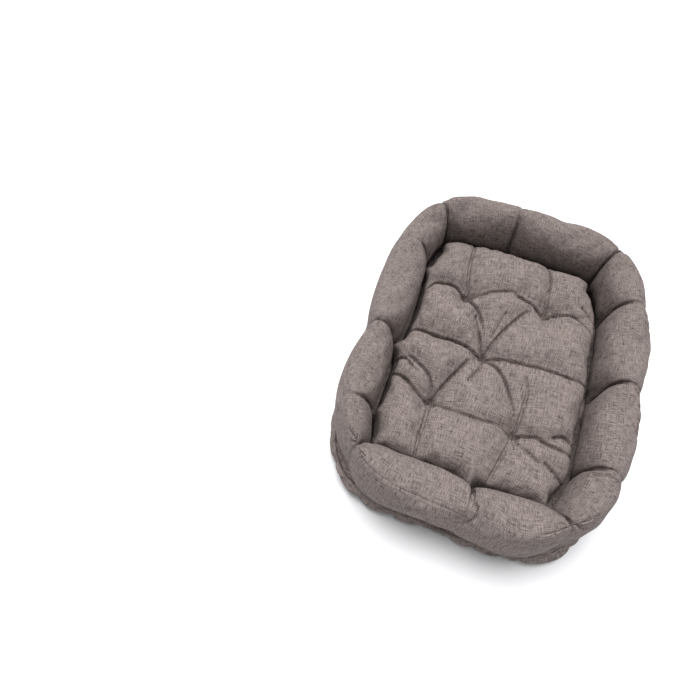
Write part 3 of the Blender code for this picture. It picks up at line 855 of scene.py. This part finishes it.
def refine_cushion(settled, flat_x, flat_y, u, v):
    """The settled top on a grid twice as fine, with its creases, tufts and rim puckers pressed in."""
    rows, columns = settled.shape[0] - 1, settled.shape[1] - 1
    i, j = np.meshgrid(np.arange(2 * rows + 1) / 2, np.arange(2 * columns + 1) / 2, indexing="ij")
    sheet = np.concatenate([settled, np.stack([flat_x, flat_y, u, v], -1)], -1)
    sheet = through_grid(sheet, i, j)
    points = sheet[..., :3]
    x, y, u, v = np.moveaxis(sheet[..., 3:], -1, 0)
    press = np.zeros(x.shape)
    for line, depth in CREASES:
        away, along = nearest_on_line(x, y, curved(line))
        added = crease_profile(away, CUSHION_CREASE_DEPTH * depth * fading(along), CUSHION_CREASE_WIDTH)
        press = np.where(np.abs(added) > np.abs(press), added, press)
    from_tuft = from_tufts(x, y)
    press += 0.013 * np.exp(-from_tuft / 0.008) + 0.009 * np.exp(-((from_tuft / 0.044) ** 2))
    for number, (tx, ty) in enumerate(TUFTS.values()):
        radius, turn = np.hypot(x - tx, y - ty), np.arctan2(y - ty, x - tx)
        pleat = np.cos(9 * turn + 2.1 * number + 0.8 * np.sin(3 * turn))
        press += 0.0013 * (pleat * np.exp(-(((radius - 0.017) / 0.013) ** 2)))
    across_rim, along_rim = (1 - np.abs(u)) * CUSHION_HALF_WIDTH, (1 - np.abs(v)) * CUSHION_HALF_LENGTH
    from_rim = np.minimum(across_rim, along_rim)
    along = np.where(across_rim < along_rim, y, x)
    pucker = np.abs(np.sin(math.pi * along / 0.034 + 2.6 * np.sin(21 * along))) - 0.6
    strength = 0.5 + 0.5 * np.sin(17 * along + 9 * u)
    press -= 0.0021 * strength * pucker * np.exp(-(((from_rim - 0.009) / 0.010) ** 2))
    press -= 0.0008 * unevenness(x, y, 0.07, 8) * np.clip(from_rim / 0.03, 0, 1)
    press *= np.clip(from_rim / 0.004, 0, 1)
    normal = grid_normals(points)
    if normal[..., 2].mean() < 0:
        normal = -normal
    normal[..., 2] += 1.5
    normal /= np.linalg.norm(normal, axis=-1, keepdims=True)
    return points - normal * press[..., None]


def cloth_places(grid):
    """Each grid point's place on the flat cloth: lengths along the cloth from the middle, both ways."""
    middle_row, middle_column = grid.shape[0] // 2, grid.shape[1] // 2
    along = np.linalg.norm(np.diff(grid, axis=1), axis=-1).cumsum(axis=1)
    across = np.linalg.norm(np.diff(grid, axis=0), axis=-1).cumsum(axis=0)
    along = np.pad(along, ((0, 0), (1, 0)))
    across = np.pad(across, ((1, 0), (0, 0)))
    return np.stack([along - along[:, middle_column, None], across - across[middle_row]], -1)


def make_cushion(limit):
    columns = int(round(2 * CUSHION_HALF_WIDTH / CUSHION_CELL))
    rows = int(round(2 * CUSHION_HALF_LENGTH / CUSHION_CELL))
    u, v = np.meshgrid(np.linspace(-1, 1, columns + 1), np.linspace(-1, 1, rows + 1))
    flat_x, flat_y = cushion_plan(u, v)
    edge = (np.abs(u) > 0.9999) | (np.abs(v) > 0.9999)
    angle = np.arctan2(flat_y[edge], flat_x[edge])
    order = np.argsort(angle)
    rim = (angle[order], np.hypot(flat_x[edge], flat_y[edge])[order])
    x, y = fit_inside(flat_x, flat_y, limit, rim, RIM_CLEARANCE)

    crowning = np.sqrt(np.clip(1 - np.abs(u) ** 11, 0, 1) * np.clip(1 - np.abs(v) ** 14, 0, 1))
    cut, hold = np.zeros(x.shape), np.zeros(x.shape)
    for line, depth in CREASES:
        away, along = nearest_on_line(x, y, curved(line))
        strength = depth * fading(along)
        valley = 0.40 * np.exp(-((away / 0.024) ** 2)) + 0.24 * np.exp(-away / 0.008)
        cut = np.maximum(cut, strength * valley)
        hold = np.maximum(hold, 0.9 * strength * np.clip(1.15 - away / CUSHION_CELL, 0, 1))
    from_tuft = from_tufts(x, y)
    cut = np.maximum(cut, 0.84 * np.exp(-from_tuft / 0.030))
    cut = np.maximum(cut, 0.60 * np.exp(-((from_tuft / 0.056) ** 2)))
    top_z = CUSHION_SEAM_Z + CUSHION_CROWN * crowning * (1 - cut)
    hold = np.maximum(hold, 0.95 * np.exp(-((from_tuft / 0.006) ** 2)))
    hold = np.where(edge, 1.0, hold)

    index = np.arange(x.size).reshape(x.shape)
    start = np.stack([x, y, top_z], -1).reshape(-1, 3)
    top = settle(start, grid_faces(index), hold.ravel(), pressure=16.0, slack=0.045, bending=2.0)
    top[:, 0], top[:, 1] = fit_inside(top[:, 0], top[:, 1], limit, rim, RIM_CLEARANCE)
    top = refine_cushion(evened(top.reshape(*x.shape, 3), 2), x, y, u, v)
    top_index = np.arange(top[..., 0].size).reshape(top.shape[:2])
    top = top.reshape(-1, 3)

    hang = np.minimum(0.04 * crowning, CUSHION_SEAM_Z - CUSHION_FLOOR_Z)
    bottom_z = CUSHION_SEAM_Z - hang * (1 - 0.5 * np.exp(-((from_tuft / 0.020) ** 2)))
    inner = ~edge
    bottom_index = np.zeros(index.shape, int)
    bottom_index[inner] = len(top) + np.arange(inner.sum())
    bottom = np.stack([x[inner], y[inner], bottom_z[inner]], -1)
    points = np.vstack([top, bottom])
    faces = [tuple(face) for face in grid_faces(top_index)]
    faces += underside_faces(bottom_index, top_index, rows, columns)
    crown = np.stack([x, y, CUSHION_SEAM_Z + CUSHION_CROWN * crowning], -1)
    fine_i, fine_j = np.meshgrid(np.arange(2 * rows + 1) / 2, np.arange(2 * columns + 1) / 2, indexing="ij")
    top_weave = through_grid(cloth_places(crown), fine_i, fine_j).reshape(-1, 2)
    bottom_weave = cloth_places(np.stack([x, y, bottom_z], -1))
    places = np.vstack([top_weave, bottom_weave[inner] + 1.0])
    rim_places = {top_index[2 * r, 2 * c]: bottom_weave[r, c] + 1.0 for r, c in zip(*np.nonzero(edge))}
    weave = [places[point] for face in faces[: 4 * rows * columns] for point in face]
    for face in faces[4 * rows * columns:]:
        known = [rim_places[point] if point in rim_places else places[point] for point in face
                 if point in rim_places or point >= len(top)]
        middle = np.mean(known, axis=0)
        for point in face:
            weave.append(rim_places[point] if point in rim_places
                         else places[point] if point >= len(top) else middle)
    cushion = new_mesh_object("tufted_cushion", points, faces, FABRIC, weave)
    attach(cushion, "cushion", "cover_fabric", "cushion_top_panel", "cushion_bottom_panel", "cushion_filling")

    for name, (tx, ty) in TUFTS.items():
        nearest = np.hypot(top[:, 0] - tx, top[:, 1] - ty).argmin()
        top_at = top[nearest, 2] - TUFT_LOOP_SINK
        bottom_at = CUSHION_FLOOR_Z + 0.5 * (CUSHION_SEAM_Z - CUSHION_FLOOR_Z) - 0.002
        half = 0.0018
        path = [(-half, bottom_at), (-half, top_at), (half, top_at), (half, bottom_at)]
        thread = new_thread(f"tuft_stitch_{name}", [(tx + a, ty, z) for a, z in path], 0.0008, True)
        attach(thread, "cushion", "sewing_thread", TUFT_THREADS[name])


def new_thread(name, points, radius, cyclic=False):
    curve = bpy.data.curves.new(name, "CURVE")
    curve.dimensions = "3D"
    curve.bevel_depth = radius
    curve.bevel_resolution = 2
    curve.use_fill_caps = not cyclic
    spline = curve.splines.new("POLY")
    spline.points.add(len(points) - 1)
    for target, point in zip(spline.points, points):
        target.co = (*point, 1.0)
    spline.use_cyclic_u = cyclic
    curve.materials.append(THREAD)
    obj = bpy.data.objects.new(name, curve)
    bpy.context.scene.collection.objects.link(obj)
    return obj


# --------------------------------------------------------------------------------------------- base


def base_line(angle, scale):
    """Points of the base's outline at these angles, drawn in by a scale."""
    x, y = superellipse(angle, BASE_HALF_WIDTH, BASE_HALF_LENGTH, BASE_POWER)
    return x * scale, y * scale


# Where the side of the base is gathered in: (x, y, depth, half width).
BASE_GATHERS = (
    (-0.012, -0.448, 0.014, 0.024), (-0.045, -0.448, 0.006, 0.012), (-0.282, -0.385, 0.016, 0.060),
    (0.165, -0.448, 0.008, 0.020), (-0.335, -0.120, 0.008, 0.020), (-0.335, 0.190, 0.008, 0.020),
    (0.335, -0.150, 0.008, 0.020), (0.335, 0.120, 0.008, 0.020), (0.040, 0.448, 0.008, 0.020),
    (-0.180, 0.448, 0.006, 0.020), (0.210, 0.448, 0.006, 0.020),
)
BASE_CELLS = (76, 104)


def base_plan():
    """A grid over the base's plan whose edge follows its outline, as shares of the outline's distance."""
    columns, rows = BASE_CELLS
    u, v = np.meshgrid(np.linspace(-1, 1, columns + 1), np.linspace(-1, 1, rows + 1))
    share = np.maximum(np.abs(u), np.abs(v))
    safe = np.where(share == 0, 1.0, share)
    square_u, square_v = u / safe, v / safe
    perimeter = np.select(
        [square_v <= -1 + 1e-9, square_u >= 1 - 1e-9, square_v >= 1 - 1e-9],
        [square_u + 1, square_v + 3, 5 - square_u], 7 - square_v,
    ) / 8
    return share, np.mod(perimeter, 1.0)


def outline_table():
    """The base's outline anticlockwise from its front-left corner: share of the way round, angle, length."""
    start = -math.pi + math.atan2(BASE_HALF_LENGTH, BASE_HALF_WIDTH)
    angle = start + np.linspace(0, 2 * math.pi, 8001)
    x, y = base_line(angle, 1.0)
    s = np.concatenate([[0.0], np.cumsum(np.hypot(np.diff(x), np.diff(y)))])
    return s / s[-1], angle, s[-1]


def make_base():
    """The base: a padded floor and a stuffed side band, gathered in places, over a flat bottom."""
    table_share, table_angle, length = outline_table()
    share, around = base_plan()
    angle = np.interp(around, table_share, table_angle)
    x, y = base_line(angle, BASE_EDGE * share)
    index = np.arange(x.size).reshape(x.shape)
    border = border_of(index)
    hold = (share.ravel() > 0.80).astype(float)
    floor = np.stack([x, y, np.full(x.shape, FLOOR_Z)], -1).reshape(-1, 3)
    puffed = settle(floor, grid_faces(index)[:, ::-1], hold, pressure=2.0, slack=0.02, bending=1.0)
    puffed[:, 2] = np.clip(puffed[:, 2], FLOOR_Z - 0.002, BASE_TOP_Z + 0.0008)

    rows = 14
    up = np.linspace(0, 1, rows + 1)[None, :]
    band_scale = BASE_EDGE + 0.030 * np.sqrt(np.clip(1 - (2 * up - 1) ** 2, 0, 1))
    band_angle = angle.ravel()[border][:, None]
    bx, by = base_line(band_angle, band_scale)
    band = np.stack([bx, by, BASE_LOW_Z + (FLOOR_Z - BASE_LOW_Z) * up + 0 * bx], -1)
    count = len(border)
    band_index = np.arange(count * (rows + 1)).reshape(count, rows + 1)
    band_hold = np.zeros(band_index.shape)
    band_hold[:, 0] = band_hold[:, -1] = 1
    around_faces = grid_faces(np.vstack([band_index, band_index[:1]]))[:, ::-1]
    settled = settle(
        band.reshape(-1, 3), around_faces, band_hold.ravel(), pressure=15.0, slack=0.06, bending=1.0
    )
    band = settled.reshape(band.shape)
    reach = np.hypot(band[..., 0], band[..., 1])
    lip = 0.006 * np.exp(-(((band[..., 2] - 0.0480) / 0.0030) ** 2))
    rounding = np.exp(-(((band[..., 2] - 0.028) / 0.016) ** 2))
    roll = 0.004 * np.ones(band.shape[:2])
    for gather_x, gather_y, depth, width in BASE_GATHERS:
        away = np.hypot(band[..., 0] - gather_x, band[..., 1] - gather_y)
        roll -= depth * np.exp(-away / width)
    band[..., :2] *= (1 + (lip + roll * rounding) / reach)[..., None]

    top_count = x.size
    bottom = floor.copy()
    bottom[:, 2] = BASE_LOW_Z
    middle = band[:, 1:-1].reshape(-1, 3)
    points = np.vstack([puffed, bottom, middle])
    ring = np.empty((count, rows + 1), int)
    ring[:, 0], ring[:, -1] = top_count + border, border
    ring[:, 1:-1] = 2 * top_count + np.arange(count * (rows - 1)).reshape(count, rows - 1)
    faces = np.vstack([
        grid_faces(index)[:, ::-1], grid_faces(index + top_count),
        grid_faces(np.vstack([ring, ring[:1]]))[:, ::-1],
    ])
    along, up_band = np.meshgrid(
        np.arange(count + 1) / count * length, 0.0045 * np.arange(rows + 1), indexing="ij"
    )
    band_places = np.stack([along, 4.0 + up_band], -1).reshape(-1, 2)
    band_order = grid_faces(np.arange(along.size).reshape(along.shape))[:, ::-1]
    flat_faces = 2 * len(grid_faces(index))
    weave = np.vstack([points[faces[:flat_faces].ravel(), :2], band_places[band_order.ravel()]])
    base = new_mesh_object("base_pad", points, faces, FABRIC, weave)
    subdivide(base)
    attach(base, "bed", "cover_fabric", "base_side_band", "base_filling", "base_floor_panel")


def make_underside():
    """The panel stretched under the base: a sheet with a rolled edge, cut to the base's outline."""
    table_share, table_angle, _ = outline_table()
    share, around = base_plan()
    share, around = share[::2, ::2], around[::2, ::2]
    angle = np.interp(around, table_share, table_angle)
    index = np.arange(share.size).reshape(share.shape)
    border = border_of(index)
    layers = []
    for z in (0.0, PANEL_THICKNESS):
        x, y = base_line(angle, 0.960 * share)
        layers.append(np.stack([x, y, np.full(x.shape, z)], -1).reshape(-1, 3))
    rim_x, rim_y = base_line(angle.ravel()[border], PANEL_EDGE)
    rim = np.stack([rim_x, rim_y, np.full(rim_x.shape, PANEL_THICKNESS / 2)], -1)
    count = share.size
    ring = np.stack([border, 2 * count + np.arange(len(border)), count + border], -1)
    faces = np.vstack([
        grid_faces(index), grid_faces(index + count)[:, ::-1],
        grid_faces(np.vstack([ring, ring[:1]]))[:, ::-1],
    ])
    points = np.vstack([*layers, rim])
    panel = new_mesh_object("base_underside", points, faces, UNDERSIDE, points[:, :2])
    attach(panel, "bed", "underside_fabric", "base_underside_panel")


# -------------------------------------------------------------------------------------------- stage


def make_stage():
    floor_mesh = bpy.data.meshes.new("floor")
    size = 40.0
    corners = [(-size, -size, -0.0004), (size, -size, -0.0004), (size, size, -0.0004), (-size, size, -0.0004)]
    floor_mesh.from_pydata(corners, [], [(0, 1, 2, 3)])
    n = Nodes("pale_floor")
    n.shader.inputs["Base Color"].default_value = (0.84, 0.84, 0.85, 1.0)
    n.shader.inputs["Roughness"].default_value = 0.9
    n.shader.inputs["Specular IOR Level"].default_value = 0.1
    floor_mesh.materials.append(n.material)
    floor = bpy.data.objects.new("floor", floor_mesh)
    bpy.context.scene.collection.objects.link(floor)


def add_softbox(name, direction, strength, spread):
    """A wide, even light from far away. spread is how wide it looks from the bed, in degrees."""
    data = bpy.data.lights.new(name, "SUN")
    data.energy = strength
    data.angle = math.radians(spread)
    light = bpy.data.objects.new(name, data)
    light.rotation_euler = Vector(direction).to_track_quat("Z", "Y").to_euler()
    bpy.context.scene.collection.objects.link(light)


def make_lights():
    world = bpy.data.worlds.new("studio")
    world.use_nodes = True
    background = world.node_tree.nodes["Background"]
    background.inputs["Color"].default_value = (0.97, 0.98, 1.0, 1.0)
    background.inputs["Strength"].default_value = 0.43
    bpy.context.scene.world = world
    add_softbox("key", (-0.17, 0.44, 1.35), 4.65, 46.0)
    bpy.context.scene.view_settings.view_transform = "Standard"


def make_camera():
    data = bpy.data.cameras.new("camera")
    data.lens = 25.25
    data.sensor_width = 36.0
    camera = bpy.data.objects.new("camera", data)
    camera.location = (-0.132, -0.673, 1.251)
    camera.rotation_euler = (math.radians(28.0), 0.0, math.radians(20.7))
    bpy.context.scene.collection.objects.link(camera)
    bpy.context.scene.camera = camera


make_camera()
make_lights()
make_stage()
make_cushion(make_walls().inner_limit())
make_base()
make_underside()
